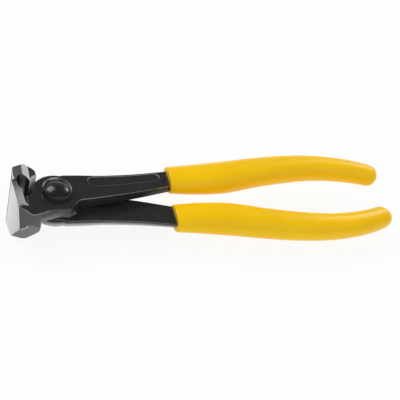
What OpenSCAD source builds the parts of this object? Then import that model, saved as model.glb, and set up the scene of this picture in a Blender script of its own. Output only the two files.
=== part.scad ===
// End cutting nippers, 200 mm: two identical drop-forged halves in a lap
// joint, one domed rivet and two dipped grips.
//
// Millimetres. The rivet axis is Z and the two laps meet on the plane z = 0.
// The cutting edges lie at -X and the handles run towards +X. The upper half
// (z > 0 at the joint) carries the jaw on the -Y side and the handle on the
// +Y side. The lower half is the same forging, turned half a turn about X.

/* [Joint] */
// Thickness of one half at the rivet
lap_thick = 6.5; // [5.5:0.1:8]
// Play between the two lap faces
lap_gap = 0.04; // [0.02:0.01:0.1]
// Radius of the round lap, measured on the lap face
lap_r = 12.6; // [11.6:0.1:13]
// How far the round lap draws in towards its outer face
lap_draft = 1.0; // [0.4:0.1:1.6]
// Radius that breaks the outer edges of the forging
edge_round = 1.5; // [0.6:0.1:2]
// Distance from the rivet axis to the straight wall beside the other handle
wall_w = 12.2; // [11.4:0.1:12.6]
// How far that wall leans in under the outer face
wall_lean = 1.2; // [0:0.1:2]
// Clearance of a jaw round the other half's lap
lap_relief = 0.3; // [0.2:0.05:0.6]
// Radius of the raised collar round each rivet head, at its foot
collar_r = 7.5; // [7.4:0.1:8.4]
// Height of the collar above the outer face
collar_h = 2.4; // [1.6:0.1:3]
// Width of the conical mouth inside the collar's rim
collar_mouth = 0.7; // [0.3:0.1:0.8]

/* [Rivet] */
// Radius of the rivet's shank
shank_r = 4; // [3:0.1:4.6]
// Running clearance of the shank in the upper half, on the radius
shank_play = 0.05; // [0.02:0.01:0.09]
// Radius of the domed heads
head_r = 5.8; // [5.2:0.1:6]
// Height of a head's dome above its rim
head_dome = 1.7; // [1:0.1:2.2]
// Height of a head's straight rim
head_rim = 0.8; // [0.4:0.1:1]
// Depth of the recess in the collar that the head fills
seat_depth = 1.6; // [1:0.1:2]
// Gap round a head in its recess, on the radius
seat_gap = 0.35; // [0.2:0.05:0.5]
// Play under the heads, along the axis
head_play = 0.05; // [0.02:0.01:0.1]

/* [Jaws] */
// Distance from the rivet axis to the cutting edges
jaw_reach = 22; // [20:0.5:24]
// Width of the head along the rivet axis
jaw_w = 28.4; // [26:0.2:31]
// Distance from the centre plane to the outermost shoulder of a jaw
jaw_h = 15.6; // [14.5:0.1:17]
// Angle of the end bevel, from square to the handles
bevel_angle = 17.5; // [12:0.5:24]
// How far the bevel turns up at the edge's lower end
bevel_twist = 8; // [0:0.5:9]
// Gap between the closed cutting edges
edge_gap = 0.04; // [0.02:0.01:0.1]
// Length of the inner bevel behind the edge
inner_bevel = 2.4; // [1.6:0.1:3]
// Drop of the inner bevel over that length
inner_drop = 0.5; // [0.2:0.1:1]
// Radius of the mouth hollow behind the edges
mouth_r = 3.7; // [3:0.1:4.2]
// Length of the jaw's flat ground flank, from the edge backwards
flank_len = 6.4; // [5:0.1:7]
// Distance from the centre plane to the foot of the ground crown
crown_h = 9.5; // [8:0.1:11]
// Distance from the centre plane to the heel of the lower flank
heel_h = 11.2; // [9:0.1:12]
// Turn of the heel's chamfer towards the edge
heel_turn = 24; // [10:1:30]
// Downward lean of the heel's chamfer
heel_tilt = 19; // [10:1:26]
// Distance from the centre plane to the flare's chamfer, at the lower flank
flare_h = 11.8; // [10:0.1:13]
// Turn of the flare's chamfer towards the handles
flare_turn = 5; // [0:1:12]
// Downward lean of the flare's chamfer
flare_tilt = 16; // [10:1:24]
// Azimuth of the outer facet's normal, from the -X axis
facet_turn = 44; // [36:1:52]
// Lean of the outer facet
facet_tilt = 8; // [0:1:20]
// Distance from the rivet axis to the shoulder's corner, along the handles
shoulder_x = 13.2; // [12:0.1:14]
// Distance from the rivet axis to the back of the jaw's flare
flare_x = 8.2; // [7.4:0.1:9]

/* [Levers] */
// Distance from the rivet axis to the start of the grips
grip_start = 58; // [50:1:66]
// Outer side of the half on the lap face, beside the rivet
root_w = 13.7; // [13:0.1:14.4]
// Draft of the outer side, across one unit of thickness
side_draft = 0.42; // [0.1:0.02:0.5]
// Inner edge of the lever beside the rivet, measured past the centre plane
root_in = 5.9; // [5:0.1:7]
// Inner edge of the lever at the grip
grip_in = 4.2; // [3:0.1:5]
// Outer edge of the lever at its root
root_out = 11.2; // [10:0.1:12]
// Outer edge of the lever at the grip
grip_out = 15.7; // [14:0.1:17]
// Distance from the centre plane to the lever's lap side
lever_lift = 0.85; // [0.4:0.05:1.2]
// Thickness of the lever at the grip
lever_thick = 4.2; // [3.6:0.1:5]
// Depth of the long panel sunk in the lever's outer face
panel_depth = 0.9; // [0.4:0.1:1.4]
// Distance from the rivet axis to the near end of the panel
panel_start = 16.4; // [15:0.1:19]
// Length of the panel
panel_len = 37; // [30:1:38]
// Width of the panel at its near end
panel_w = 6.8; // [5:0.1:7.4]

/* [Grips] */
// Distance from the rivet axis to the far ends of the grips
grip_end = 179; // [165:1:190]
// Height of a grip's axis above the lap face
grip_z = 3.2; // [2.6:0.1:3.6]
// Largest distance of a grip's axis from the centre plane
grip_spread = 18.9; // [17:0.1:21]
// Largest half width of a grip, in the plane of the handles
grip_a = 9; // [8.5:0.1:10]
// Largest half thickness of a grip
grip_b = 6.6; // [6.2:0.1:7.5]
// Length over which a grip's far end rounds off
tip_round = 6.2; // [4:0.1:8]
// Length over which a grip's near end rounds off
lip_round = 1; // [0.5:0.1:2]
// Distance from a grip's far end to the end of the tang inside it
tang_short = 9; // [8:0.5:20]
// Half width of the tang at its far end
tang_a = 3.6; // [2.6:0.1:3.8]
// Gap between tang and grip
tang_gap = 0.04; // [0.02:0.01:0.1]

/* [Hidden] */
$fn = 96;
over = 1;            // overrun of every cut
grip_points = 32;    // points round a grip
grip_rings = 36;     // rings along a grip
tang_rings = 16;     // rings along a tang
lever_rings = 30;    // rings along a lever
arc_steps = 6;       // steps in a drawn quarter arc

face_z = lap_gap/2;              // lap face of the upper half
top_z = face_z + lap_thick;      // outer face of the upper half
collar_z = top_z + collar_h;     // rim of the collar
seat_z = collar_z - seat_depth;  // floor of the recess
seat_r = head_r + seat_gap;
relief_r = lap_r + lap_relief;
half_w = jaw_w/2;
mouth_x = jaw_reach - inner_bevel - mouth_r;

// Curves

// Slope at knot i of a curve through the knots (x, y)
function slope(x, y, i) =
    i == 0 ? (y[1] - y[0])/(x[1] - x[0]) :
    i == len(x) - 1 ? (y[i] - y[i-1])/(x[i] - x[i-1]) :
    (y[i+1] - y[i-1])/(x[i+1] - x[i-1]);

// Index of the span of x that holds t
function span(x, t, i=0) = i >= len(x) - 2 || t < x[i+1] ? i : span(x, t, i+1);

// Smooth value at t of the curve through the knots
function curve(x, y, t) =
    let (i = span(x, t), h = x[i+1] - x[i], u = (t - x[i])/h,
         m0 = slope(x, y, i)*h, m1 = slope(x, y, i+1)*h)
    (2*u*u*u - 3*u*u + 1)*y[i] + (u*u*u - 2*u*u + u)*m0
    + (3*u*u - 2*u*u*u)*y[i+1] + (u*u*u - u*u)*m1;

// Solid through a list of rings with the same number of points each
module skin(rings) {
    n = len(rings[0]);
    m = len(rings);
    polyhedron(
        points = [for (r = rings) each r],
        faces = concat(
            [[for (i = [0:n-1]) i]],
            [for (k = [0:m-2], i = [0:n-1]) let (a = k*n + i, b = k*n + (i+1)%n)
                each [[a, a + n, b], [b, a + n, b + n]]],
            [[for (i = [n-1:-1:0]) (m-1)*n + i]]),
        convexity = 6);
}

// Half space on the far side of a point, for planes cut across the jaw
module beyond(point, turn, tilt) {
    size = jaw_reach + jaw_w + jaw_h;
    translate(point) rotate([0, 0, turn]) rotate([0, -tilt, 0])
        translate([0, -size, -size]) cube(2*size);
}

// Lever

// Where the edges of the lever run, as shares of the way from root to grip
lever_shares = [0, 0.3, 0.65, 1];
inner_shares = [0, 0.25, 0.59, 1];
outer_shares = [0, 0.12, 0.45, 1];
root_x_share = 0.2;   // the lever's root, as a share of grip_start
root_x = root_x_share*grip_start;

function along(x) = (x - root_x)/(grip_start - root_x);
function lever_in(x) = -root_in
    + (root_in + grip_in)*curve(lever_shares, inner_shares, along(x));
function lever_out(x) = root_out
    + (grip_out - root_out)*curve(lever_shares, outer_shares, along(x));
function lever_top(x) = top_z
    + (lever_lift + lever_thick - top_z)*max(0, along(x));
function ease(t) = let (u = min(1, max(0, t))) u*u*(3 - 2*u);

// Wall beside the other handle: straight past the rivet, then a rounded
// corner that turns in to the lever's inner edge
corner_start_share = 0.38;  // shares of wall_w
corner_end_share = 0.92;
function wall_y(x) = let (u = ease((x - corner_start_share*wall_w)
        /((corner_end_share - corner_start_share)*wall_w)))
    -wall_w*(1 - u) + lever_in(max(x, root_x))*u;
function wall_foot(x) = wall_y(x) + wall_lean*(1 - ease(x/root_x));

// Outer side: starts inside the round lap, leaves it past the rivet and
// becomes the lever's outer edge
function side_y(x) = lerp(side_share*lap_r, root_w, ease((x - lever_from)/(side_end - lever_from)));
function lerp(a, b, u) = a + (b - a)*u;
side_share = 0.74;          // shares of lap_r
leave_share = 0.4;
lever_from = -leave_share*lap_r;
side_end = leave_share*lap_r;

// Cross-section of the lever at x: inner wall, outer face, rounded edge and
// drafted outer side, then back along the lap side
function lever_ring(x) = let (
        lift = lerp(face_z, lever_lift, ease((x - relief_r)/relief_r)),
        top = lever_top(x),
        r = min(edge_round, (top - lift)/2),
        joint = 1 - ease(x/root_x - 1),
        drop = side_draft*(top - r - lift),
        foot = lerp(lever_out(max(x, root_x)) + drop, side_y(min(x, root_x)), joint),
        crest = foot - drop)
    concat(
        [[x, foot, lift]],
        [for (i = [0:arc_steps]) let (a = 90*i/arc_steps)
            [x, crest - r + r*cos(a), top - r + r*sin(a)]],
        [[x, wall_y(x), top], [x, wall_foot(x), lift]]);

// Half of the rings lie in the first quarter, where the walls turn
near_share = 0.25;
function ring_share(t) = t < 1/2 ? 2*t*near_share : lerp(near_share, 1, 2*t - 1);

module lever_blank() {
    skin([for (i = [0:lever_rings])
        lever_ring(lerp(lever_from, grip_start - lap_gap, ring_share(i/lever_rings)))]);
}

// Long sunk panel with round ends in the lever's outer face
panel_taper_share = 0.8;    // far width as a share of the near width
panel_margin_share = 0.15;  // metal outside the panel, as a share of panel_w
function panel_line(x, w) = lever_out(x) - panel_margin_share*panel_w - w/2;
module panel_cut() {
    w1 = panel_w;
    w2 = panel_w*panel_taper_share;
    x1 = panel_start + w1/2;
    x2 = panel_start + panel_len - w2/2;
    steps = 4*arc_steps;
    outline = concat(
        [for (i = [0:steps]) let (a = 90 + 180*i/steps)
            [x1 + w1/2*cos(a), panel_line(x1, w1) + w1/2*sin(a)]],
        [for (i = [0:steps]) let (u = i/steps, x = lerp(x1, x2, u), w = lerp(w1, w2, u))
            [x, panel_line(x, w) - w/2]],
        [for (i = [0:steps]) let (a = -90 + 180*i/steps)
            [x2 + w2/2*cos(a), panel_line(x2, w2) + w2/2*sin(a)]],
        [for (i = [0:steps]) let (u = 1 - i/steps, x = lerp(x1, x2, u), w = lerp(w1, w2, u))
            [x, panel_line(x, w) + w/2]]);
    fall = atan((lever_top(x1) - lever_top(x2))/(x2 - x1));
    translate([x1, 0, lever_top(x1) - panel_depth]) rotate([0, fall, 0])
        translate([-x1, 0, 0]) linear_extrude(lap_thick) polygon(outline);
}

// Grip and tang

// Course and section of a grip, as shares of its length, spread and sizes
grip_shares = [0, 0.12, 0.25, 0.4, 0.55, 0.7, 0.83, 0.93, 1];
axis_shares = [0.543, 0.562, 0.638, 0.818, 0.952, 1, 0.915, 0.76, 0.58];
width_shares = [0.88, 0.96, 1, 0.917, 0.872, 0.798, 0.744, 0.69, 0.66];
depth_shares = [0.73, 0.9, 1, 1, 0.955, 0.91, 0.864, 0.82, 0.8];
fullness = 2.3;             // exponent of the section, 2 is an ellipse
tip_full = 2.4;             // exponent of the far end's rounding

grip_len = grip_end - grip_start;
function grip_y(u) = grip_spread*curve(grip_shares, axis_shares, u);
function grip_lean(u) = let (d = 1/grip_rings/4)
    ease(u*grip_rings/4)*atan((grip_y(u + d) - grip_y(u - d))/(2*d*grip_len));
function power(v, e) = sign(v)*pow(abs(v), e);

// Ring of a section with half width a and half depth b, square to the axis
function section(u, a, b, n) = let (lean = grip_lean(u))
    [for (i = [0:n-1]) let (
            t = 360*i/n, w = a*power(cos(t), 2/fullness), h = b*power(sin(t), 2/fullness))
        [grip_start + u*grip_len - w*sin(lean), grip_y(u) + w*cos(lean), grip_z + h]];

// Shrink factor that rounds both ends of the grip
function end_round(u) = let (
        s = u*grip_len, e = grip_len - s,
        near = s < lip_round ? lerp(1 - lip_round/grip_b/2, 1, sqrt(max(0, 1 - pow(1 - s/lip_round, 2)))) : 1,
        far = e < tip_round ? pow(max(0, 1 - pow(1 - e/tip_round, tip_full)), 1/tip_full) : 1)
    near*far;

// Ring positions, packed closer towards both ends
lip_rings_share = 0.12;     // shares of the rings that round the two ends
tip_rings_share = 0.2;
tip_share = 0.004;          // flat left on the far end, as a share of grip_len
function grip_at(i) = let (
        t = i/grip_rings, near = 2*lip_round/grip_len, far = 1 - tip_round/grip_len,
        far_t = 1 - tip_rings_share)
    t < lip_rings_share ? lerp(0, near, pow(t/lip_rings_share, 2)) :
    t > far_t ? lerp(far, 1 - tip_share, sin(90*(t - far_t)/tip_rings_share)) :
    lerp(near, far, (t - lip_rings_share)/(far_t - lip_rings_share));

module grip_solid() {
    skin([for (i = [0:grip_rings]) let (u = grip_at(i), k = end_round(u))
        section(u, k*grip_a*curve(grip_shares, width_shares, u),
                k*grip_b*curve(grip_shares, depth_shares, u), grip_points)]);
}

// The lever's end inside the grip: flat, and narrower towards the tail
tang_end = 1 - tang_short/grip_len;
tang_thin_share = 0.4;      // half thickness at the tail, as a share of lever_thick
tang_rise_share = 1/3;      // length over which the tang comes to the grip's height
tang_shares = [[-1, -0.5], [-0.8, -1], [0.8, -1], [1, -0.5],
               [1, 0.5], [0.8, 1], [-0.8, 1], [-1, 0.5]];
function tang_ring(u, gap) = let (
        v = u/tang_end, lean = grip_lean(u),
        root_a = (grip_out - grip_in)/2 - lip_round/4,
        a = lerp(root_a, tang_a, ease(v)) + gap,
        b = lerp(lever_thick/2 - lip_round/4, tang_thin_share*lever_thick, v) + gap,
        y = grip_y(u), z = lerp(lever_lift + lever_thick/2, grip_z, ease(v/tang_rise_share)))
    [for (p = tang_shares)
        [grip_start + u*grip_len - p[0]*a*sin(lean), y + p[0]*a*cos(lean), z + p[1]*b]];

module tang(gap=0) {
    skin([for (i = [0:tang_rings]) let (
            u = lerp(-lip_round/grip_len, tang_end + gap/grip_len, i/tang_rings))
        tang_ring(u, gap)]);
}

// Head

// Round lap with a drafted, rounded outer edge, cut off beside the wall
clip_share = 0.95;          // share of the wall's distance at its foot
module lap_disc() {
    crest = lap_r - lap_draft;
    difference() {
        rotate_extrude() polygon(concat(
            [[0, face_z], [lap_r, face_z]],
            [for (i = [0:arc_steps]) let (a = 90*i/arc_steps)
                [crest - edge_round + edge_round*cos(a), top_z - edge_round + edge_round*sin(a)]],
            [[0, top_z]]));
        translate([-2*lap_r, -2*lap_r - clip_share*(wall_w - wall_lean), -over])
            cube([4*lap_r, 2*lap_r, 2*lap_thick]);
    }
}

// Raised collar whose rim stands round the rivet head
collar_slope_share = 0.12;  // how far the collar's wall draws in, as a share of its height
module collar() {
    rim_r = collar_r - collar_slope_share*collar_h;
    rotate_extrude() polygon([
        [0, top_z - edge_round], [collar_r, top_z - edge_round], [collar_r, top_z],
        [rim_r, collar_z - collar_mouth/3], [rim_r - collar_mouth/4, collar_z], [0, collar_z]]);
}

// Recess for the rivet's head, with a conical mouth
module seat_cut() {
    rotate_extrude() polygon([
        [0, seat_z], [seat_r, seat_z], [seat_r, collar_z - collar_mouth],
        [seat_r + collar_mouth, collar_z], [seat_r + collar_mouth, collar_z + over],
        [0, collar_z + over]]);
}

// Plan outline of neck and jaw, before the planes cut it
neck_shares = [-1, -0.8, -0.61, -0.4, -0.2];   // shares of shoulder_x
neck_rise_shares = [1, 0.84, 0.58, 0.26, 0];   // shares of jaw_h - wall_w
neck_steps = 10;
module head_outline() {
    polygon(concat(
        [[-jaw_reach, -edge_gap/2], [-jaw_reach, -jaw_h]],
        [for (i = [0:neck_steps]) let (t = lerp(neck_shares[0], neck_shares[4], i/neck_steps))
            [t*shoulder_x, -wall_w - (jaw_h - wall_w)*curve(neck_shares, neck_rise_shares, t)]],
        [[-neck_shares[4]*shoulder_x, lerp(-wall_w, -lap_r/2, -neck_shares[4])],
         [0, -lap_r/2], [-lap_r/2, -edge_gap/2]]));
}

// Side view of the jaw: flat ground flanks at the edge, a steep step down to
// the outer face and a long flare under the lap
upper_flat_share = 0.7;     // shares of flank_len
lower_flat_share = 0.9;
flare_step_shares = [0, 0.13, 0.3, 0.5, 0.75, 1];  // along the flare
flare_drop_shares = [0, 0.34, 0.62, 0.83, 0.96, 1]; // down the flare
back_step_shares = [0, 0.24, 0.46, 0.72, 0.9, 1];  // along the lower flare
back_drop_shares = [0, 0.2, 0.41, 0.62, 0.82, 1];  // down the lower flare
module head_side() {
    flat = -jaw_reach + upper_flat_share*flank_len;
    foot = -jaw_reach + flank_len*(2 - upper_flat_share);
    low_flat = -jaw_reach + lower_flat_share*flank_len;
    rotate([90, 0, 0]) linear_extrude(2*jaw_h, center=true) polygon(concat(
        [[-jaw_reach, half_w]],
        [for (i = [0:5]) [lerp(flat, foot, flare_step_shares[i]),
                          lerp(half_w, top_z, flare_drop_shares[i])]],
        [[over, top_z], [over, face_z], [-flare_x, face_z]],
        [for (i = [5:-1:0]) [lerp(low_flat, -flare_x, back_step_shares[i]),
                             -lerp(half_w, top_z, back_drop_shares[i])]],
        [[-jaw_reach, -half_w]]));
}

// End view of the jaw: on the lap's side the ground crown falls to the
// outer face along an arc
crown_bulge = 11;           // half of the arc's angle
crown_steps = 9;
function crown_point(u) = let (
        drop = half_w - top_z, chord = atan(drop/crown_h),
        r = norm([crown_h, drop])/(2*sin(crown_bulge)),
        a = chord + crown_bulge*(2*u - 1), a0 = chord - crown_bulge)
    [-r*(sin(a) - sin(a0)), half_w - r*(cos(a0) - cos(a))];

module head_end() {
    rotate([90, 0, 90]) translate([0, 0, -jaw_reach - over])
        linear_extrude(jaw_reach + 2*over) polygon(concat(
            [for (i = [0:crown_steps]) crown_point(i/crown_steps)],
            [[-jaw_h, top_z], [-jaw_h, -half_w], [0, -half_w]]));
}

module jaw() {
    difference() {
        intersection() {
            translate([0, 0, -half_w]) linear_extrude(jaw_w) head_outline();
            head_side();
            head_end();
        }
        bevel_cut();
        // outer facet, through the shoulder's corner
        beyond([-shoulder_x, -jaw_h, top_z], 180 + facet_turn, facet_tilt);
        // chamfers under the facet: round the heel and along the flare
        beyond([-shoulder_x - edge_round, -heel_h, -half_w], -90 - heel_turn, -heel_tilt);
        beyond([-shoulder_x - edge_round, -flare_h, -half_w], -90 + flare_turn, -flare_tilt);
        // inner bevel behind the edge
        translate([-jaw_reach, -edge_gap/2, -jaw_w]) linear_extrude(2*jaw_w)
            polygon([[0, 0], [inner_bevel, -inner_drop], [inner_bevel + mouth_r, -inner_drop],
                     [inner_bevel + mouth_r, over], [0, over]]);
        // the corner of the edge that the flank's rounding takes off
        translate([-jaw_reach, 0, -half_w]) rotate([0, 45, 0])
            cube([edge_round, jaw_h, edge_round], center=true);
        // room for the other half's lap
        translate([0, 0, -jaw_w]) cylinder(r=relief_r, h=jaw_w + face_z);
    }
}

// End bevel: ruled from the cutting edge, flat over most of it and steeper
// towards its lower end
bevel_steps = 16;
twist_from_share = 0.25;    // share of half_w below the lap plane
module bevel_cut() {
    long = jaw_h + over;
    skin([for (i = [0:bevel_steps]) let (
            z = half_w*lerp(-1 - twist_from_share, 1 + twist_from_share, i/bevel_steps),
            a = bevel_angle - bevel_twist
                *ease((-z/half_w - twist_from_share)/(1 - twist_from_share)))
        [[-jaw_reach, over, z], [-2*jaw_reach, over, z], [-2*jaw_reach, -long, z],
         [-jaw_reach + long*tan(a), -long, z], [-jaw_reach, 0, z]]]);
}

module mouth_cut() {
    translate([-mouth_x, 0, -jaw_w]) cylinder(r=mouth_r, h=2*jaw_w);
}

// One forging, upper half as built
module forging(bore_r) {
    difference() {
        union() {
            lap_disc();
            difference() {
                union() { lever_blank(); jaw(); }
                mouth_cut();
            }
            collar();
            tang();
        }
        panel_cut();
        seat_cut();
        translate([0, 0, -over]) cylinder(r=bore_r, h=collar_z + 2*over);
    }
}

// Nodes

module turned() { rotate([180, 0, 0]) children(); }

module upper_half() { color("#2b2b2b") forging(shank_r + shank_play); }
module lower_half() { color("#303030") turned() forging(shank_r); }

module rivet_head(z) {
    sphere_r = (head_r*head_r + head_dome*head_dome)/(2*head_dome);
    translate([0, 0, z]) rotate_extrude() polygon(concat(
        [[0, 0], [head_r, 0]],
        [for (i = [0:2*arc_steps]) let (
                a = asin(head_r/sphere_r)*(1 - i/(2*arc_steps)))
            [sphere_r*sin(a), head_rim + head_dome - sphere_r*(1 - cos(a))]]));
}

module rivet() {
    color("#1c1c1c") union() {
        translate([0, 0, -seat_z - head_play]) cylinder(r=shank_r, h=2*(seat_z + head_play));
        rivet_head(seat_z + head_play);
        turned() rivet_head(seat_z);
    }
}

module grip() {
    color("#f4c300") difference() {
        grip_solid();
        tang(tang_gap);
    }
}
module upper_grip() { grip(); }
module lower_grip() { turned() grip(); }

upper_half();
lower_half();
rivet();
upper_grip();
lower_grip();
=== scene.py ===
"""End cutting nippers: two black forged halves on a domed rivet, ground jaws, yellow dipped grips.

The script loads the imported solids, dresses each forging, turns the rivet,
sweeps the two grips and sets up the studio. The frame is that of the solids:
+X runs to the handles' ends and +Z along the rivet. Sizes that a class holds
are in millimetres and its angles in degrees. Blender's own places are in
metres.
"""

import logging  # noqa: E402
import math  # noqa: E402
from dataclasses import dataclass, field  # noqa: E402
from enum import Enum  # noqa: E402
from typing import Callable, Sequence  # noqa: E402

import bmesh  # noqa: E402
import bpy  # noqa: E402
from mathutils import Matrix, Vector  # noqa: E402

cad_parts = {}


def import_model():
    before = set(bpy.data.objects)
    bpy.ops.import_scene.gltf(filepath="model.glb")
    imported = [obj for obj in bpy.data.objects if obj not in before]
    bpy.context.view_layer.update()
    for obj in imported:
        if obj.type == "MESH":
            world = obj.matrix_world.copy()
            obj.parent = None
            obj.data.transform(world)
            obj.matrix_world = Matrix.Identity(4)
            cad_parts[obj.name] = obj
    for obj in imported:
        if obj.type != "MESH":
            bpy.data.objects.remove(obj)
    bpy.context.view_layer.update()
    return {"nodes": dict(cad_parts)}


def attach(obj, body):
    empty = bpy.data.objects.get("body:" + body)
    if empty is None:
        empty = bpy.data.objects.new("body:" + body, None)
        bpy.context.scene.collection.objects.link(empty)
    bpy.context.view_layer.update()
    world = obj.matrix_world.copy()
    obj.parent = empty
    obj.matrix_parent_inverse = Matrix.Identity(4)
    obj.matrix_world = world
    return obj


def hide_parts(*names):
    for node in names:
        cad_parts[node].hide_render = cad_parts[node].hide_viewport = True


LOG = logging.getLogger("nippers")
MM = 0.001


class Side(Enum):
    """Which of the two equal halves a piece belongs to."""

    UPPER = "upper"
    LOWER = "lower"

    @property
    def turn(self) -> Matrix:
        """Turn that brings the upper half's shape onto this side."""
        return Matrix.Identity(4) if self is Side.UPPER else Matrix.Rotation(math.pi, 4, "X")


class Surface(Enum):
    """Finishes found on a forging, in the order of its material slots."""

    BLACK = 0
    EDGE = 1
    BEVEL = 2
    CROWN = 3
    FLANK = 4
    FACET = 5
    HEEL = 6
    FLARE = 7
    SCALE = 8
    RELIEF = 9
    RIM = 10
    WALL = 11
    BELLY = 12


# Finishes


class NodeBoard:
    """Small helper that lays nodes in a tree."""

    def __init__(self, tree: bpy.types.NodeTree) -> None:
        """Starts on the nodes of a material or of the world."""
        self.tree = tree

    def add(self, kind: str, **values: object) -> bpy.types.Node:
        """Adds a node and sets its properties and named inputs.

        Args:
            kind: Blender's type name of the node.
            values: node properties, or input values by socket name.

        Returns:
            The new node.
        """
        node = self.tree.nodes.new(kind)
        for key, value in values.items():
            if hasattr(node, key):
                setattr(node, key, value)
            else:
                node.inputs[key.replace("_", " ")].default_value = value
        return node

    def link(self, source: bpy.types.NodeSocket, target: bpy.types.NodeSocket) -> None:
        """Joins two sockets."""
        self.tree.links.new(source, target)


class MaterialBoard(NodeBoard):
    """Small helper that lays shader nodes on one material."""

    def __init__(self, name: str) -> None:
        """Makes the material.

        Args:
            name: name of the material.
        """
        self.material = bpy.data.materials.new(name)
        self.material.use_nodes = True
        super().__init__(self.material.node_tree)
        self.shader = self.tree.nodes["Principled BSDF"]

    def set(self, **values: object) -> None:
        """Sets the shader's own sockets by name."""
        for key, value in values.items():
            self.shader.inputs[key.replace("_", " ")].default_value = value

    def noise(self, scale: float, stretch: Sequence[float] = (1, 1, 1),
              detail: float = 3) -> bpy.types.Node:
        """Noise on the piece's own coordinates.

        Args:
            scale: grains per metre.
            stretch: factors on the three axes.
            detail: octaves.

        Returns:
            The noise node.
        """
        place = self.add("ShaderNodeTexCoord")
        mapping = self.add("ShaderNodeMapping")
        mapping.inputs["Scale"].default_value = stretch
        self.link(place.outputs["Object"], mapping.inputs["Vector"])
        noise = self.add("ShaderNodeTexNoise", Scale=scale, Detail=detail)
        self.link(mapping.outputs["Vector"], noise.inputs["Vector"])
        return noise

    def ramp(self, source: bpy.types.NodeSocket, low: Sequence[float], high: Sequence[float],
             start: float, end: float) -> bpy.types.Node:
        """Colour ramp between two colours.

        Args:
            source: value that drives the ramp.
            low: colour at start.
            high: colour at end.
            start: value where the ramp leaves the low colour.
            end: value where it reaches the high colour.

        Returns:
            The ramp node.
        """
        ramp = self.add("ShaderNodeValToRGB")
        first, last = ramp.color_ramp.elements
        first.position, last.position = start, end
        first.color, last.color = (*low, 1), (*high, 1)
        self.link(source, ramp.inputs["Fac"])
        return ramp

    def bump(self, height: bpy.types.NodeSocket, distance: float, strength: float) -> None:
        """Drives the shader's normal from a height.

        Args:
            height: socket with the height.
            distance: depth of the relief in metres.
            strength: share of it that shows.
        """
        bump = self.add("ShaderNodeBump", Strength=strength, Distance=distance)
        self.link(height, bump.inputs["Height"])
        self.link(bump.outputs["Normal"], self.shader.inputs["Normal"])


@dataclass(frozen=True)
class PaintedLight:
    """Painted light: how a surface's colour grows lighter along one of its piece's axes, in place of
    shading.

    Args:
        axis: X, Y or Z.
        start: distance from the middle plane where the change begins.
        end: distance where it is complete.
        tone: brightness from there on.
    """

    axis: str
    start: float
    end: float
    tone: float


@dataclass(frozen=True)
class Steel:
    """A steel surface: its tone, its gloss and the marks of forging or grinding.

    Args:
        name: name of the material.
        tone: middle brightness.
        spread: how far the grain moves the brightness either way.
        roughness: middle roughness.
        metallic: 1 for bare steel, 0 for its black skin.
        specular: strength of the gloss on the black skin.
        grain: grains per metre.
        stretch: factors of the grain on the three axes, low where it runs on.
        relief: depth of the grain in metres.
        strength: share of the relief that shows.
        tint: factors that colour the brightness.
        painted_light: where painted light makes the surface lighter along an axis, if anywhere.
        faint: noise value up to which the grain is at its lowest.
        full: noise value from which it is at its highest.
        swing: share by which the grain moves the roughness either way.
    """

    name: str
    tone: float
    spread: float
    roughness: float
    metallic: float = 1.0
    specular: float = 0.5
    grain: float = 1500.0
    stretch: tuple[float, float, float] = (1.0, 1.0, 1.0)
    relief: float = 0.00004
    strength: float = 0.15
    tint: tuple[float, float, float] = (1.0, 1.0, 1.02)
    painted_light: PaintedLight | None = None
    faint: float = 0.3
    full: float = 0.7
    swing: float = 0.12

    def with_painted_light(self, board: MaterialBoard, colour: bpy.types.NodeSocket) -> bpy.types.NodeSocket:
        """Colour that changes to the lighter colour of the painted light with the distance from the
        middle plane.

        Args:
            board: the material's nodes.
            colour: colour of the surface away from the painted light.

        Returns:
            The socket with the mixed colour.
        """
        place = board.add("ShaderNodeTexCoord")
        split = board.add("ShaderNodeSeparateXYZ")
        board.link(place.outputs["Object"], split.inputs["Vector"])
        distance = board.add("ShaderNodeMath", operation="ABSOLUTE")
        board.link(split.outputs[self.painted_light.axis], distance.inputs[0])
        share = board.add("ShaderNodeMapRange", From_Min=self.painted_light.start * MM,
                          From_Max=self.painted_light.end * MM)
        board.link(distance.outputs["Value"], share.inputs["Value"])
        mix = board.add("ShaderNodeMixRGB")
        mix.inputs["Color2"].default_value = (*(self.painted_light.tone * c for c in self.tint), 1)
        board.link(share.outputs["Result"], mix.inputs["Fac"])
        board.link(colour, mix.inputs["Color1"])
        return mix.outputs["Color"]

    def build(self) -> bpy.types.Material:
        """Builds the material.

        Returns:
            The material.
        """
        board = MaterialBoard(self.name)
        board.set(Metallic=self.metallic, Roughness=self.roughness,
                  Specular_IOR_Level=self.specular)
        grain = board.noise(self.grain, self.stretch)
        low = [max(0.0, self.tone - self.spread) * c for c in self.tint]
        high = [(self.tone + self.spread) * c for c in self.tint]
        colour = board.ramp(grain.outputs["Fac"], low, high, self.faint, self.full)
        base = colour.outputs["Color"]
        # Painted light: where it is set, the colour grows lighter along one axis.
        board.link(self.with_painted_light(board, base) if self.painted_light else base, board.shader.inputs["Base Color"])
        rough = board.add("ShaderNodeMapRange", From_Min=self.faint, From_Max=self.full,
                          To_Min=self.roughness * (1 - self.swing),
                          To_Max=self.roughness * (1 + self.swing))
        board.link(grain.outputs["Fac"], rough.inputs["Value"])
        board.link(rough.outputs["Result"], board.shader.inputs["Roughness"])
        board.bump(grain.outputs["Fac"], self.relief, self.strength)
        return board.material


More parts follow.
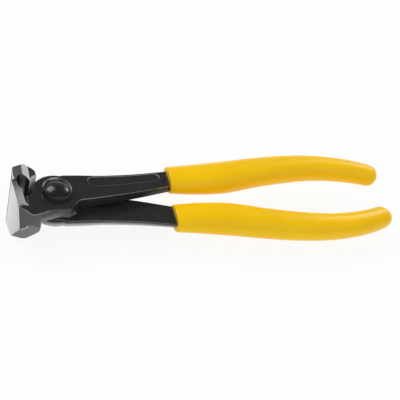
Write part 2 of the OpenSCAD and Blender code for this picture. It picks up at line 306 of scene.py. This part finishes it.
@dataclass(frozen=True)
class DippedPlastic:
    """Dip coating: a warm yellow in soft clouds, under a glossy, finely pitted skin.

    Args:
        name: name of the material.
        low: colour of the darkest clouds.
        high: colour of the lightest clouds.
        faint: noise value up to which a cloud has the low colour.
        full: noise value from which it has the high one.
        clouds: clouds per metre.
        roughness: roughness of the skin.
        specular: strength of its gloss.
        pits: pits per metre.
        relief: their depth in metres.
        strength: share of the relief that shows.
    """

    name: str = "dipped_yellow"
    low: tuple[float, float, float] = (0.95, 0.56, 0.0)
    high: tuple[float, float, float] = (0.99, 0.60, 0.0)
    faint: float = 0.35
    full: float = 0.65
    clouds: float = 45.0
    roughness: float = 0.26
    specular: float = 0.22
    pits: float = 2200.0
    relief: float = 0.00002
    strength: float = 0.12

    def build(self) -> bpy.types.Material:
        """Builds the material.

        Returns:
            The material.
        """
        board = MaterialBoard(self.name)
        board.set(Metallic=0.0, Roughness=self.roughness, Specular_IOR_Level=self.specular)
        cloud = board.noise(self.clouds, detail=2)
        colour = board.ramp(cloud.outputs["Fac"], self.low, self.high, self.faint, self.full)
        board.link(colour.outputs["Color"], board.shader.inputs["Base Color"])
        skin = board.noise(self.pits, detail=2)
        board.bump(skin.outputs["Fac"], self.relief, self.strength)
        return board.material


ALONG_EDGE = (1.0, 6.0, 0.25)
ACROSS_EDGE = (6.0, 0.25, 1.0)
DOWN_SIDE = (1.0, 1.0, 4.0)
ALONG_NECK = (0.3, 3.0, 3.0)

FINISHES: dict[Surface, Steel] = {
    Surface.BLACK: Steel("black_oxide", tone=0.020, spread=0.004, roughness=0.24, metallic=0.0,
                         specular=0.46),
    Surface.EDGE: Steel("rubbed_edge", tone=0.28, spread=0.05, roughness=0.28),
    # Ground steel with painted light: its colour darkens from 0.70 to 0.52 away from the middle plane,
    # in place of shading.
    Surface.BEVEL: Steel("ground_bevel_painted_light", tone=0.70, spread=0.04, roughness=0.28, grain=900.0,
                         stretch=ALONG_EDGE, relief=0.00003, strength=0.12,
                         painted_light=PaintedLight("Y", 2.0, 13.0, 0.52)),
    Surface.CROWN: Steel("ground_crown", tone=0.46, spread=0.05, roughness=0.30, grain=900.0,
                         stretch=ACROSS_EDGE, relief=0.00003, strength=0.12),
    Surface.FLANK: Steel("ground_flank", tone=0.26, spread=0.04, roughness=0.32, grain=900.0,
                         stretch=ACROSS_EDGE, relief=0.00003, strength=0.12),
    # Painted shade: facet, heel and flare are darker copies of the same ground steel, and the heel's
    # tone also stands in for the shaded table that it reflects.
    Surface.FACET: Steel("ground_facet_painted_shade", tone=0.095, spread=0.015, roughness=0.32, grain=1000.0,
                         stretch=DOWN_SIDE),
    Surface.HEEL: Steel("ground_heel_painted_shade", tone=0.145, spread=0.03, roughness=0.36, grain=1000.0,
                        stretch=DOWN_SIDE),
    Surface.FLARE: Steel("ground_flare_painted_shade", tone=0.165, spread=0.03, roughness=0.36, grain=1000.0,
                         stretch=ALONG_NECK),
    Surface.SCALE: Steel("forging_scale", tone=0.014, spread=0.005, roughness=0.55, metallic=0.0,
                         specular=0.1),
    # Painted highlight: the hollow's wall is near-white so that it shows bright, also where it lies in
    # shade.
    Surface.RELIEF: Steel("relief_painted_highlight", tone=0.80, spread=0.06, roughness=0.45, metallic=0.1),
    Surface.RIM: Steel("rubbed_rim", tone=0.36, spread=0.03, roughness=0.28),
    # Painted light: the boss's front wall is dark and grows lighter towards the lap plane, where it
    # would reflect the white table.
    Surface.WALL: Steel("painted_light_wall", tone=0.03, spread=0.006, roughness=0.3, metallic=0.0,
                        specular=0.4, painted_light=PaintedLight("Z", 4.0, 0.0, 0.22)),
    # Painted light: the lever's outer side and the panel's walls are dark near the lap plane and grow
    # lighter towards the outer face.
    Surface.BELLY: Steel("painted_light_belly", tone=0.014, spread=0.004, roughness=0.4, metallic=0.0,
                         specular=0.08, painted_light=PaintedLight("Z", 2.0, 5.0, 0.52)),
}
RIVET_FINISH = Steel("rivet_black", tone=0.014, spread=0.003, roughness=0.22, metallic=0.0,
                     strength=0.05)


# Geometry helpers


def smooth_curve(places: Sequence[float], values: Sequence[float], at: float) -> float:
    """Smooth curve through knots.

    Args:
        places: knot places, rising.
        values: value at each knot.
        at: place that is asked for.

    Returns:
        The value of the curve there.
    """
    last = len(places) - 1

    def slope(i: int) -> float:
        """Slope of the curve at knot i."""
        a, b = max(0, i - 1), min(last, i + 1)
        return (values[b] - values[a]) / (places[b] - places[a])

    i = 0
    while i < last - 1 and at >= places[i + 1]:
        i += 1
    h = places[i + 1] - places[i]
    u = (at - places[i]) / h
    return ((2 * u**3 - 3 * u**2 + 1) * values[i] + (u**3 - 2 * u**2 + u) * slope(i) * h
            + (3 * u**2 - 2 * u**3) * values[i + 1] + (u**3 - u**2) * slope(i + 1) * h)


def ease(t: float) -> float:
    """Smooth step from 0 to 1."""
    t = min(1.0, max(0.0, t))
    return t * t * (3 - 2 * t)


def join_rings(mesh: bmesh.types.BMesh, rings: Sequence[Sequence[bmesh.types.BMVert]]) -> None:
    """Joins closed rings of points by four-sided faces.

    Args:
        mesh: the geometry that holds the points.
        rings: the rings in order, each with the same number of points.
    """
    for a, b in zip(rings, rings[1:]):
        for k in range(len(a)):
            n = (k + 1) % len(a)
            mesh.faces.new((a[k], a[n], b[n], b[k]))


def mesh_object(name: str, mesh: bmesh.types.BMesh) -> bpy.types.Object:
    """Turns a bmesh into a linked object.

    Args:
        name: name of the object and its mesh.
        mesh: the geometry, which is freed.

    Returns:
        The object.
    """
    data = bpy.data.meshes.new(name)
    mesh.to_mesh(data)
    mesh.free()
    piece = bpy.data.objects.new(name, data)
    bpy.context.scene.collection.objects.link(piece)
    return piece


def shade(piece: bpy.types.Object, angle: float) -> None:
    """Smooth shading with edges kept sharp above an angle.

    Args:
        piece: mesh object.
        angle: limit in degrees.
    """
    mesh = bmesh.new()
    mesh.from_mesh(piece.data)
    limit = math.radians(angle)
    for edge in mesh.edges:
        edge.smooth = len(edge.link_faces) == 2 and edge.calc_face_angle(0.0) < limit
    for face in mesh.faces:
        face.smooth = True
    mesh.to_mesh(piece.data)
    mesh.free()
    weigh = piece.modifiers.new("weigh_faces", "WEIGHTED_NORMAL")
    weigh.keep_sharp, weigh.weight = True, 100


# Pieces


@dataclass(frozen=True)
class Rounding:
    """How an edge of a forging is broken.

    Args:
        width: how far the rounding reaches onto each face.
        finish: surface that it shows.
        steps: faces across it.
    """

    width: float
    finish: Surface
    steps: int = 2


HEEL_CORNER = Rounding(0.7, Surface.HEEL, 3)
BEVEL_CORNER = Rounding(0.3, Surface.HEEL, 2)
HONED = Rounding(0.55, Surface.FACET, 1)
CROWN_EDGE = Rounding(0.15, Surface.CROWN, 1)
GROUND_EDGE = Rounding(0.25, Surface.BEVEL)
PARTING_EDGE = Rounding(0.3, Surface.BLACK)
WALL_EDGE = Rounding(0.32, Surface.WALL)
RUBBED_EDGE = Rounding(0.32, Surface.EDGE)
FINE_EDGE = Rounding(0.05, Surface.EDGE, 1)
ROUNDINGS = (HEEL_CORNER, BEVEL_CORNER, HONED, CROWN_EDGE, GROUND_EDGE, PARTING_EDGE, WALL_EDGE,
             RUBBED_EDGE, FINE_EDGE)

# How much of a direction lies along another one
FULLY = 0.9
MOSTLY = 0.8
HALFWAY = 0.7
PARTLY = 0.5
SLIGHTLY = 0.3


@dataclass
class Forging:
    """One forged half: jaw, lap, collar and lever, with its ground surfaces.

    Every place below is that on the upper half. The lower one is turned over.

    Args:
        side: which half this is.
        reach: distance from the rivet to the honed edge.
        outer_face: height of the lap's outer face.
        collar: radius of the raised collar round the rivet's head.
        relief: radius of the hollow that the other half's lap turns in.
        ground_step: X where the ground jaw ends.
        heel_top: height below which the heel's corners are rounded.
        flank_top: height below which the jaw's foot is ground.
        neck_end: X where the ground neck ends.
        boss_end: X where the drafted wall below the boss ends.
        dull_edge: X from which that wall's edge is as dark as the wall.
        parting: height up to which an edge counts as one of the lap.
        belly: Y beyond which the outer side takes the belly's painted light.
        panel_start: X from which the sunk panel on the lever may lie.
        panel_low: height from which it may.
        facet_normal: direction of the ground facet.
        heel_normal: direction of the ground heel.
        flare_normal: direction of the flare between heel and neck.
        margin: play when a place is compared with one of these.
        weld: distance below which points are joined.
        merge: the same away from the collar's fine rings.
        shortest: edge length below which an edge is dropped.
        flat: angle below which faces count as one.
        sharp: angle from which an edge is broken.
        narrow: width of a face up to which its edges are hardly broken.
        lap_plane: height of the lap's face over the middle plane.
        crease: angle from which shading shows an edge.
        round_heel: surfaces whose common corners are rounded at the heel.
        surfaces: the material of each surface.
    """

    side: Side
    reach: float = 22.0
    outer_face: float = 6.5
    collar: float = 7.9
    relief: float = 12.9
    ground_step: float = -12.6
    heel_top: float = -2.0
    flank_top: float = -9.5
    neck_end: float = -8.5
    boss_end: float = 9.0
    dull_edge: float = -4.5
    parting: float = 1.0
    belly: float = 8.0
    panel_start: float = 14.0
    panel_low: float = 4.2
    facet_normal: tuple[float, float, float] = (-0.71, -0.69, 0.14)
    heel_normal: tuple[float, float, float] = (-0.38, -0.87, -0.33)
    flare_normal: tuple[float, float, float] = (0.08, -0.96, -0.28)
    margin: float = 0.3
    weld: float = 0.002
    merge: float = 0.15
    shortest: float = 0.02
    flat: float = 0.6
    sharp: float = 24.0
    narrow: float = 0.7
    lap_plane: float = 0.02
    crease: float = 40.0
    round_heel: frozenset[Surface] = frozenset(
        {Surface.BEVEL, Surface.HEEL, Surface.FLARE, Surface.FLANK})
    surfaces: dict[Surface, bpy.types.Material] = field(default_factory=dict)

    def local(self, point: Vector) -> Vector:
        """Point or direction in the upper half's own place, in millimetres."""
        return (self.side.turn.to_3x3().inverted() @ Vector(point)) / MM

    def jaw_surface(self, centre: Vector, normal: Vector) -> Surface:
        """Finish of a face on the jaw.

        Args:
            centre: middle of the face, in millimetres, as on the upper half.
            normal: its outward direction there.

        Returns:
            The surface that the face belongs to.
        """
        if normal.x < -MOSTLY and normal.y > -PARTLY:
            return Surface.BEVEL
        if normal.dot(Vector(self.facet_normal)) > FULLY:
            return Surface.FACET
        if normal.dot(Vector(self.heel_normal)) > FULLY:
            return Surface.HEEL
        if normal.dot(Vector(self.flare_normal)) > FULLY and centre.z < 0:
            return Surface.FLARE
        if centre.z < self.flank_top and (normal.z < -FULLY or max(normal.x, normal.z) < -PARTLY):
            return Surface.FLANK
        if normal.z < -PARTLY and normal.x > PARTLY:
            return Surface.CROWN if centre.x < self.ground_step else Surface.SCALE
        if normal.z > PARTLY and abs(normal.x) < SLIGHTLY and centre.z > self.outer_face + self.margin:
            return Surface.CROWN
        if normal.y > FULLY:
            return Surface.CROWN
        if normal.y < -PARTLY and abs(normal.z) < SLIGHTLY and centre.z > -self.margin:
            return Surface.FACET
        return Surface.BLACK

    def surface_of(self, centre: Vector, normal: Vector) -> Surface:
        """Finish of any face.

        Args:
            centre: middle of the face, in millimetres, as on the upper half.
            normal: its outward direction there.

        Returns:
            The surface that the face belongs to.
        """
        to_axis = math.hypot(centre.x, centre.y)
        steep = abs(normal.z) < PARTLY
        if centre.x < self.ground_step + self.margin or centre.z < -self.margin:
            surface = self.jaw_surface(centre, normal)
            # The hollow's wall takes the relief's painted highlight.
            at_hollow = abs(to_axis - self.relief) < self.margin and abs(normal.z) < SLIGHTLY
            return Surface.RELIEF if surface is Surface.BLACK and at_hollow else surface
        # The boss's front wall takes the wall's painted light, the neck's front the facet's painted
        # shade.
        if steep and normal.y < -HALFWAY and centre.x < self.boss_end:
            return Surface.FACET if centre.x < self.neck_end else Surface.WALL
        # The lever's outer side and the panel's walls take the belly's painted light.
        if steep and normal.y > HALFWAY and centre.y > self.belly and centre.x > self.neck_end:
            return Surface.BELLY
        at_panel = centre.x > self.panel_start and centre.z > self.panel_low
        if at_panel and abs(normal.z) < MOSTLY and normal.y < SLIGHTLY:
            return Surface.BELLY
        inward = normal.x * centre.x + normal.y * centre.y < 0
        on_collar = to_axis < self.collar and centre.z > self.outer_face + self.margin
        if on_collar and inward and SLIGHTLY < normal.z < FULLY:
            return Surface.RIM
        return Surface.BLACK

    @staticmethod
    def strip_width(edge: bmesh.types.BMEdge) -> float:
        """Width of the narrower of the two faces at an edge.

        Args:
            edge: an edge between two faces.

        Returns:
            That face's area over its longest side, in millimetres.
        """
        widths = [face.calc_area() / max(rail.calc_length() for rail in face.edges)
                  for face in edge.link_faces]
        return min(widths) / MM

    def rounding(self, edge: bmesh.types.BMEdge) -> Rounding | None:
        """How one edge is broken.

        Args:
            edge: an edge between faces whose finishes are set.

        Returns:
            Its rounding, or nothing where it isn't a sharp outer edge.
        """
        if len(edge.link_faces) != 2 or not edge.is_convex \
                or edge.calc_face_angle(0.0) < math.radians(self.sharp):
            return None
        middle = self.local((edge.verts[0].co + edge.verts[1].co) / 2)
        span = self.local(edge.verts[0].co - edge.verts[1].co)
        finishes = {Surface(face.material_index) for face in edge.link_faces}
        at_tip = middle.x < -self.reach + 2 * self.margin and abs(middle.y) < 2 * self.margin
        if at_tip and abs(span.z) > MOSTLY * span.length:
            return HONED
        if len(finishes) == 2 and finishes <= self.round_heel and middle.z < self.heel_top:
            return BEVEL_CORNER if Surface.BEVEL in finishes else HEEL_CORNER
        on_collar = math.hypot(middle.x, middle.y) < self.collar
        if on_collar and middle.z > self.outer_face - self.margin:
            return None
        if finishes == {Surface.FACET}:
            return None
        if Surface.BELLY in finishes and middle.z < self.parting:
            return PARTING_EDGE
        if Surface.WALL in finishes and middle.z > self.parting and middle.x > self.dull_edge:
            return WALL_EDGE
        if Surface.CROWN in finishes:
            return CROWN_EDGE
        if finishes & {Surface.BLACK, Surface.EDGE, Surface.SCALE, Surface.RELIEF}:
            at_panel = middle.x > self.panel_start and middle.z > self.panel_low
            return RUBBED_EDGE if at_panel or self.strip_width(edge) > self.narrow else FINE_EDGE
        return GROUND_EDGE

    def break_edges(self, mesh: bmesh.types.BMesh) -> None:
        """Rounds the sharp outer edges, the wide corners first.

        Args:
            mesh: the half, with the finishes of its faces set.
        """
        for rounding in ROUNDINGS:
            edges = [edge for edge in mesh.edges if self.rounding(edge) == rounding]
            bmesh.ops.bevel(mesh, geom=edges, offset=rounding.width * MM, offset_type="OFFSET",
                            segments=rounding.steps, profile=0.5, affect="EDGES",
                            clamp_overlap=False, material=rounding.finish.value)

    def level_lap(self, mesh: bmesh.types.BMesh) -> None:
        """Brings the points just under the lap back to its plane, clear of the other half.

        Args:
            mesh: the half, with its edges broken.
        """
        for vert in mesh.verts:
            place = self.local(vert.co)
            if place.x > -self.relief and -self.margin < place.z < self.lap_plane:
                place.z = self.lap_plane
                vert.co = self.side.turn.to_3x3() @ (place * MM)

    def clean(self, mesh: bmesh.types.BMesh) -> None:
        """Takes out what hangs loose after the roundings and closes the gaps that are left.

        Args:
            mesh: the half, with its edges broken.
        """
        bmesh.ops.dissolve_degenerate(mesh, dist=self.shortest * MM, edges=mesh.edges)
        loose = [edge for edge in mesh.edges if not edge.link_faces]
        bmesh.ops.delete(mesh, geom=loose, context="EDGES")
        lone = [vert for vert in mesh.verts if not vert.link_faces]
        bmesh.ops.delete(mesh, geom=lone, context="VERTS")
        rims = [edge for edge in mesh.edges if len(edge.link_faces) == 1]
        bmesh.ops.holes_fill(mesh, edges=rims, sides=0)

    def build(self, node: bpy.types.Object) -> bpy.types.Object:
        """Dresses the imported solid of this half.

        Args:
            node: the solid's object.

        Returns:
            The new piece.
        """
        mesh = bmesh.new()
        mesh.from_mesh(node.data)
        bmesh.ops.remove_doubles(mesh, verts=mesh.verts, dist=self.weld * MM)
        outside = [v for v in mesh.verts if math.hypot(v.co.x, v.co.y) > self.collar * MM]
        bmesh.ops.remove_doubles(mesh, verts=outside, dist=self.merge * MM)
        bmesh.ops.dissolve_limit(mesh, angle_limit=math.radians(self.flat), verts=mesh.verts,
                                 edges=mesh.edges)
        bmesh.ops.dissolve_degenerate(mesh, dist=self.shortest * MM, edges=mesh.edges)
        for face in mesh.faces:
            centre, normal = self.local(face.calc_center_median()), self.local(face.normal * MM)
            face.material_index = self.surface_of(centre, normal).value
        self.break_edges(mesh)
        self.level_lap(mesh)
        self.clean(mesh)
        piece = mesh_object(f"{self.side.value}_forging", mesh)
        for surface in Surface:
            piece.data.materials.append(self.surfaces[surface])
        shade(piece, self.crease)
        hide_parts(node.name)
        return piece


@dataclass
class DomedRivet:
    """The rivet: both domed heads and the shank between them, turned as one.

    Args:
        head_radius: radius of a head.
        shank_radius: radius of the shank.
        dome: height of the dome over the head's rim.
        rim: height of the straight rim.
        seat: height of a head's underside over the middle plane.
        corner: points of the small round at the rim, from its sharp corner.
        steps: steps from a pole to the rim.
        sides: points on each ring.
        crease: angle from which shading shows an edge.
    """

    head_radius: float = 5.8
    shank_radius: float = 4.0
    dome: float = 1.7
    rim: float = 0.8
    seat: float = 7.37
    corner: tuple[tuple[float, float], ...] = ((-0.12, 0.05), (-0.03, -0.03), (0.0, -0.15))
    steps: int = 18
    sides: int = 96
    crease: float = 50.0

    @property
    def top(self) -> float:
        """Height of a dome's pole."""
        return self.seat + self.rim + self.dome

    def profile(self) -> list[tuple[float, float]]:
        """Half outline of the rivet between its poles.

        Returns:
            Radius and height of each ring, from the lower pole to the upper.
        """
        sphere = (self.head_radius**2 + self.dome**2) / (2 * self.dome)
        span = math.asin(self.head_radius / sphere)
        angles = [span * i / self.steps for i in range(1, self.steps)]
        head = [(sphere * math.sin(t), self.top - sphere * (1 - math.cos(t))) for t in angles]
        head += [(self.head_radius + out, self.seat + self.rim + up) for out, up in self.corner]
        upper = head + [(self.head_radius, self.seat), (self.shank_radius, self.seat)]
        return [(r, -z) for r, z in upper] + [(r, z) for r, z in reversed(upper)]

    def ring(self, radius: float, height: float) -> list[Vector]:
        """Points of one ring.

        Args:
            radius: its radius.
            height: its height over the middle plane.

        Returns:
            The points in metres.
        """
        angles = (2 * math.pi * k / self.sides for k in range(self.sides))
        return [Vector((radius * math.cos(t), radius * math.sin(t), height)) * MM for t in angles]

    def build(self, material: bpy.types.Material) -> bpy.types.Object:
        """Turns the profile round the axis.

        Args:
            material: finish of the rivet.

        Returns:
            The piece.
        """
        mesh = bmesh.new()
        rings = [[mesh.verts.new(point) for point in self.ring(r, z)] for r, z in self.profile()]
        low = mesh.verts.new((0, 0, -self.top * MM))
        high = mesh.verts.new((0, 0, self.top * MM))
        join_rings(mesh, rings)
        for k in range(self.sides):
            n = (k + 1) % self.sides
            mesh.faces.new((low, rings[0][n], rings[0][k]))
            mesh.faces.new((high, rings[-1][k], rings[-1][n]))
        bmesh.ops.recalc_face_normals(mesh, faces=mesh.faces)
        piece = mesh_object("domed_rivet", mesh)
        piece.data.materials.append(material)
        shade(piece, self.crease)
        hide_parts("rivet")
        return piece


@dataclass
class DippedGrip:
    """One grip: a full oval sleeve that follows the bowed handle.

    Args:
        side: which half it sits on.
        start: X where it begins.
        end: X of its tip.
        height: height of its axis over the middle plane.
        spread: greatest distance of the axis from the tool's centre plane.
        half_width: half of its greatest width.
        half_depth: half of its greatest depth.
        lip: length of the rounded start.
        tip: length of the rounded end.
        tip_full: exponent of the end's outline, 2 for a plain ellipse.
        fullness: exponent of the oval section, 2 for a plain ellipse.
        lean_in: how fast the section turns from upright to square with the axis.
        slope_step: share of the length over which a slope is taken.
        sides: points on each ring.
        rings: steps along the grip.
        lip_rings: share of the rings that lie on the lip.
        tip_rings: share of them that lie on the tip.
        closing: how near the last ring comes to the very end.
        crease: angle from which shading shows an edge.
        places: shares of the length at which the shares below hold.
        axis_shares: distance of the axis, as a share of spread.
        width_shares: width, as a share of half_width.
        depth_shares: depth, as a share of half_depth.
    """

    side: Side
    start: float = 58.0
    end: float = 179.0
    height: float = 3.2
    spread: float = 18.9
    half_width: float = 9.0
    half_depth: float = 6.6
    lip: float = 1.0
    tip: float = 6.2
    tip_full: float = 2.4
    fullness: float = 2.3
    lean_in: float = 9.0
    slope_step: float = 1 / 144
    sides: int = 72
    rings: int = 150
    lip_rings: float = 0.08
    tip_rings: float = 0.16
    closing: float = 0.9995
    crease: float = 50.0
    places: tuple[float, ...] = (0, 0.12, 0.25, 0.4, 0.55, 0.7, 0.83, 0.93, 1)
    axis_shares: tuple[float, ...] = (0.543, 0.562, 0.638, 0.818, 0.952, 1, 0.915, 0.76, 0.58)
    width_shares: tuple[float, ...] = (0.88, 0.96, 1, 0.917, 0.872, 0.798, 0.744, 0.69, 0.66)
    depth_shares: tuple[float, ...] = (0.73, 0.9, 1, 1, 0.955, 0.91, 0.864, 0.82, 0.8)

    @property
    def length(self) -> float:
        """Length of the grip along the tool."""
        return self.end - self.start

    def axis(self, u: float) -> float:
        """Distance of the axis from the centre plane."""
        return self.spread * smooth_curve(self.places, self.axis_shares, u)

    def lean(self, u: float) -> float:
        """How far the section leans at a place, to lie square with the axis.

        Args:
            u: share of the length.

        Returns:
            The angle in radians.
        """
        d = self.slope_step
        slope = (self.axis(u + d) - self.axis(u - d)) / (2 * d * self.length)
        return ease(u * self.lean_in) * math.atan(slope)

    def shrink(self, u: float) -> float:
        """Factor that rounds the two ends.

        Args:
            u: share of the length.

        Returns:
            The size of the section there, as a share of its full size.
        """
        s, e = u * self.length, (1 - u) * self.length
        near = far = 1.0
        if s < self.lip:
            least = 1 - self.lip / (2 * self.half_depth)
            near = least + (1 - least) * math.sqrt(max(0.0, 1 - (1 - s / self.lip) ** 2))
        if e < self.tip:
            far = max(0.0, 1 - (1 - e / self.tip) ** self.tip_full) ** (1 / self.tip_full)
        return near * far

    def place(self, i: int) -> float:
        """Where a ring lies, closer to its neighbours at both ends.

        Args:
            i: number of the ring.

        Returns:
            Its share of the length.
        """
        t = i / self.rings
        lip, tip = 2 * self.lip / self.length, self.tip / self.length
        body = 1 - self.lip_rings - self.tip_rings
        if t < self.lip_rings:
            return lip * (t / self.lip_rings) ** 2
        if t > 1 - self.tip_rings:
            turn = math.pi / 2 * (t - 1 + self.tip_rings) / self.tip_rings
            return 1 - tip + tip * math.sin(turn) * self.closing
        return lip + (1 - tip - lip) * (t - self.lip_rings) / body

    def ring(self, u: float) -> list[Vector]:
        """Points of the section on this side of the tool.

        Args:
            u: share of the length.

        Returns:
            The points in metres.
        """
        k, lean = self.shrink(u), self.lean(u)
        a = k * self.half_width * smooth_curve(self.places, self.width_shares, u)
        b = k * self.half_depth * smooth_curve(self.places, self.depth_shares, u)
        points = []
        for i in range(self.sides):
            t = 2 * math.pi * i / self.sides
            c, s = math.cos(t), math.sin(t)
            w = a * math.copysign(abs(c) ** (2 / self.fullness), c)
            h = b * math.copysign(abs(s) ** (2 / self.fullness), s)
            point = Vector((self.start + u * self.length - w * math.sin(lean),
                            self.axis(u) + w * math.cos(lean), self.height + h))
            points.append(self.side.turn.to_3x3() @ (point * MM))
        return points

    def build(self, material: bpy.types.Material) -> bpy.types.Object:
        """Sweeps the grip.

        Args:
            material: the dip coating.

        Returns:
            The piece.
        """
        mesh = bmesh.new()
        rings = [[mesh.verts.new(point) for point in self.ring(self.place(i))]
                 for i in range(self.rings + 1)]
        join_rings(mesh, rings)
        mesh.faces.new(rings[0])
        mesh.faces.new(list(reversed(rings[-1])))
        bmesh.ops.recalc_face_normals(mesh, faces=mesh.faces)
        piece = mesh_object(f"{self.side.value}_dipped_grip", mesh)
        piece.data.materials.append(material)
        shade(piece, self.crease)
        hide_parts(f"{self.side.value}_grip")
        return piece


# Studio


@dataclass(frozen=True)
class SoftBox:
    """A square lamp that points at the tool.

    Args:
        name: name of the lamp.
        towards: direction from the tool to the lamp.
        distance: distance between them, in metres.
        size: side of the lamp, in metres.
        power: power in watts.
    """

    name: str
    towards: tuple[float, float, float]
    distance: float
    size: float
    power: float

    def build(self, target: Vector) -> None:
        """Hangs the lamp.

        Args:
            target: point that it faces.
        """
        light = bpy.data.lights.new(self.name, "AREA")
        light.size, light.energy = self.size, self.power
        lamp = bpy.data.objects.new(self.name, light)
        away = Vector(self.towards).normalized()
        lamp.location = target + away * self.distance
        lamp.rotation_euler = away.to_track_quat("Z", "Y").to_euler()
        bpy.context.scene.collection.objects.link(lamp)


@dataclass
class Studio:
    """White table, pale surroundings, soft lamps and the camera.

    Args:
        table_height: height of the table's top.
        table_size: half of the table's width, in metres.
        table_tone: how white the table is in the lamps' light.
        table_roughness: roughness of its top.
        seen: share of plain white in the table as the camera and gloss see it.
        bounce: the same share in the light that it throws back.
        ambient: level of the surroundings' light.
        sky: heights and levels of the surroundings as gloss shows them.
        target: point that the lamps face.
        film: width of the camera's sensor.
        lens: its focal length.
        camera_place: where the camera stands.
        camera_right: direction to the right in the picture.
        camera_back: direction from the tool back to the camera.
        lamps: the lamps.
    """

    table_height: float = -14.35
    table_size: float = 3.0
    table_tone: float = 0.95
    table_roughness: float = 0.9
    seen: float = 0.9
    bounce: float = 0.82
    ambient: float = 0.66
    sky: tuple[tuple[float, float], ...] = ((0.06, 1.0), (0.32, 0.35), (0.60, 0.16), (0.88, 0.10))
    target: tuple[float, float, float] = (60.0, 0.0, 0.0)
    film: float = 36.0
    lens: float = 80.94
    camera_place: tuple[float, float, float] = (-83.897, -302.729, 298.047)
    camera_right: tuple[float, float, float] = (0.9375, -0.2583, 0.2330)
    camera_back: tuple[float, float, float] = (-0.3476, -0.6671, 0.6589)
    lamps: tuple[SoftBox, ...] = (
        SoftBox("softbox_left", (-0.38, 0.50, 0.77), 0.8, 0.36, 2.2),
        SoftBox("softbox_right", (0.69, 0.54, 0.48), 0.8, 0.2, 0.9),
        SoftBox("softbox_front", (0.35, -0.66, 0.67), 1.0, 0.9, 1.6),
    )

    def build_camera(self) -> None:
        """Camera at the photograph's viewing angle."""
        data = bpy.data.cameras.new("camera")
        data.sensor_width, data.lens = self.film, self.lens
        camera = bpy.data.objects.new("camera", data)
        back = Vector(self.camera_back).normalized()
        up = back.cross(Vector(self.camera_right).normalized()).normalized()
        pose = Matrix((up.cross(back), up, back)).transposed().to_4x4()
        pose.translation = Vector(self.camera_place) * MM
        camera.matrix_world = pose
        bpy.context.scene.collection.objects.link(camera)
        bpy.context.scene.camera = camera

    def build_world(self) -> None:
        """White to the camera and in gloss near the horizon, dimmer overhead."""
        world = bpy.data.worlds.new("studio")
        bpy.context.scene.world = world
        world.use_nodes = True
        board = NodeBoard(world.node_tree)
        board.tree.nodes.clear()
        out = board.add("ShaderNodeOutputWorld")
        path = board.add("ShaderNodeLightPath")
        place = board.add("ShaderNodeTexCoord")
        split = board.add("ShaderNodeSeparateXYZ")
        board.link(place.outputs["Generated"], split.inputs["Vector"])
        ramp = board.add("ShaderNodeValToRGB")
        stops = ramp.color_ramp.elements
        while len(stops) < len(self.sky):
            stops.new(0.5)
        for stop, (height, level) in zip(stops, self.sky):
            stop.position, stop.color = height, (level, level, level, 1)
        board.link(split.outputs["Z"], ramp.inputs["Fac"])
        diffuse = board.add("ShaderNodeBackground", Strength=self.ambient)
        gloss = board.add("ShaderNodeBackground")
        board.link(ramp.outputs["Color"], gloss.inputs["Color"])
        white = board.add("ShaderNodeBackground")
        either = board.add("ShaderNodeMath", operation="MAXIMUM")
        board.link(path.outputs["Is Glossy Ray"], either.inputs[0])
        board.link(path.outputs["Is Transmission Ray"], either.inputs[1])
        first, last = board.add("ShaderNodeMixShader"), board.add("ShaderNodeMixShader")
        board.link(either.outputs["Value"], first.inputs["Fac"])
        board.link(diffuse.outputs["Background"], first.inputs[1])
        board.link(gloss.outputs["Background"], first.inputs[2])
        board.link(path.outputs["Is Camera Ray"], last.inputs["Fac"])
        board.link(first.outputs["Shader"], last.inputs[1])
        board.link(white.outputs["Background"], last.inputs[2])
        board.link(last.outputs["Shader"], out.inputs["Surface"])

    def build_table(self) -> None:
        """Plain white table that keeps a soft shadow."""
        mesh = bmesh.new()
        bmesh.ops.create_grid(mesh, x_segments=1, y_segments=1, size=self.table_size)
        for vert in mesh.verts:
            vert.co.z = self.table_height * MM
        table = mesh_object("table", mesh)
        board = MaterialBoard("white_table")
        tone = self.table_tone
        board.set(Base_Color=(tone, tone, tone, 1), Roughness=self.table_roughness)
        glow = board.add("ShaderNodeEmission")
        path = board.add("ShaderNodeLightPath")
        either = board.add("ShaderNodeMath", operation="MAXIMUM")
        share = board.add("ShaderNodeMath", operation="MULTIPLY_ADD")
        share.inputs[1].default_value = self.seen - self.bounce
        share.inputs[2].default_value = self.bounce
        mix = board.add("ShaderNodeMixShader")
        board.link(path.outputs["Is Camera Ray"], either.inputs[0])
        board.link(path.outputs["Is Glossy Ray"], either.inputs[1])
        board.link(either.outputs["Value"], share.inputs[0])
        board.link(share.outputs["Value"], mix.inputs["Fac"])
        board.link(board.shader.outputs["BSDF"], mix.inputs[1])
        board.link(glow.outputs["Emission"], mix.inputs[2])
        board.link(mix.outputs["Shader"], board.tree.nodes["Material Output"].inputs["Surface"])
        table.data.materials.append(board.material)

    def build(self) -> None:
        """Sets up everything round the tool."""
        self.build_camera()
        self.build_world()
        self.build_table()
        for lamp in self.lamps:
            lamp.build(Vector(self.target) * MM)
        bpy.context.scene.view_settings.view_transform = "Standard"


def main() -> None:
    """Builds the dressed tool and the studio."""
    logging.basicConfig(level=logging.INFO)
    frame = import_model()
    steels = {surface: finish.build() for surface, finish in FINISHES.items()}
    plastic = DippedPlastic().build()
    makers: list[tuple[str, Callable[[], bpy.types.Object]]] = [
        ("upper", lambda: Forging(Side.UPPER, surfaces=steels).build(frame["nodes"]["upper_half"])),
        ("lower", lambda: Forging(Side.LOWER, surfaces=steels).build(frame["nodes"]["lower_half"])),
        ("lower", lambda: DomedRivet().build(RIVET_FINISH.build())),
        ("upper", lambda: DippedGrip(Side.UPPER).build(plastic)),
        ("lower", lambda: DippedGrip(Side.LOWER).build(plastic)),
    ]
    for body, make in makers:
        piece = make()
        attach(piece, body)
        LOG.info("%s: %d faces, rides on %s", piece.name, len(piece.data.polygons), body)
    Studio().build()


if __name__ == "__main__":
    main()
